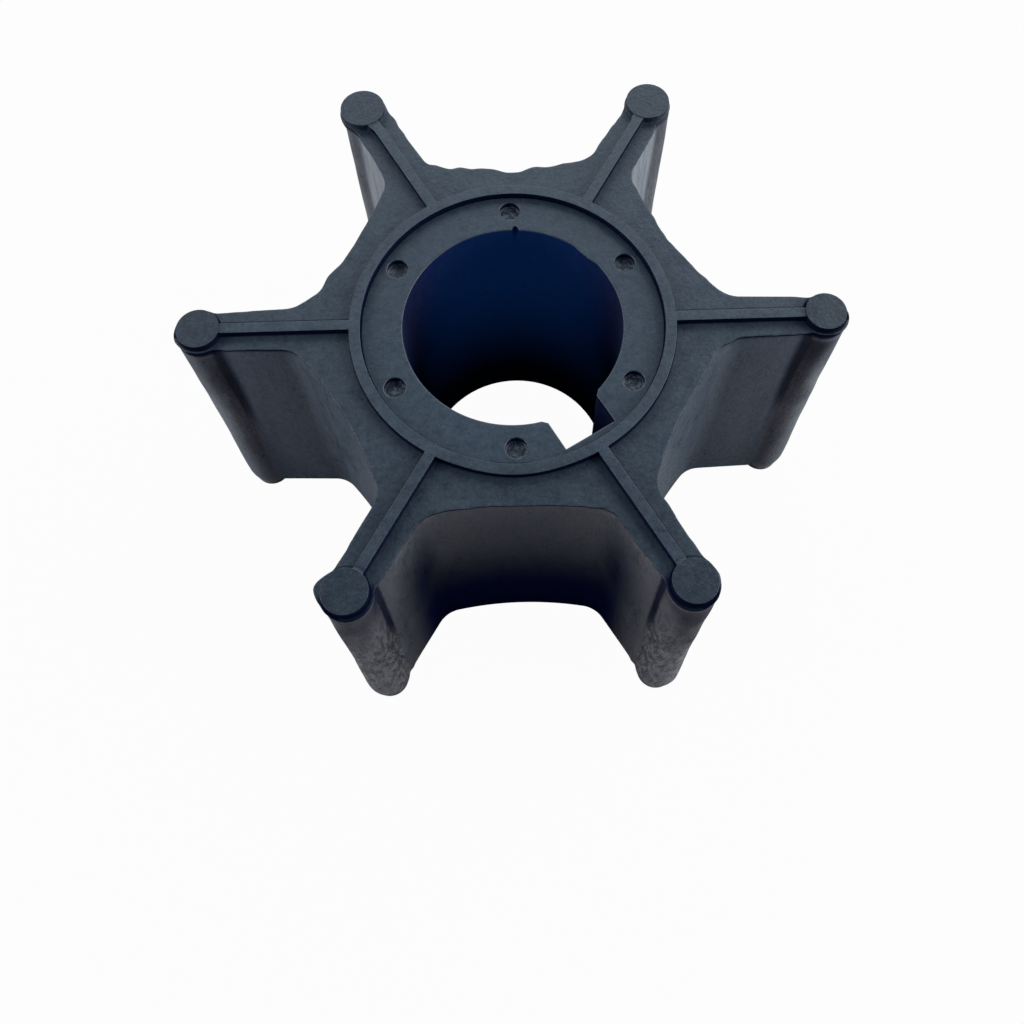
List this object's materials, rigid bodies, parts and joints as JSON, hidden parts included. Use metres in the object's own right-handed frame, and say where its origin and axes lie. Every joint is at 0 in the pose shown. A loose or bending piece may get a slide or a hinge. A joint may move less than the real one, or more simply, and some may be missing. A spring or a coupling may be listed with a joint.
{
  "type": "pump impeller",
  "caption": "Flexible rubber pump impeller with radial vanes, round tip beads and raised end ribs, moulded round a hard insert with a plain bore and a keyway",
  "frame": {"origin": "on the bore's axis, in the plane of the lower ends of the tip beads, which the part stands on", "axes": "+Z along the bore towards the end with the moulding lip and the dimples, +X along one vane; the keyway lies along the vane at -60 degrees"},
  "size_m": [0.049, 0.043, 0.0273],
  "materials": {
    "vane_rubber": "matte",
    "insert_plastic": "matte"
  },
  "bodies": {
    "root": {"vane_body": "vane_rubber", "hub_insert": "insert_plastic"}
  },
  "joints": []
}
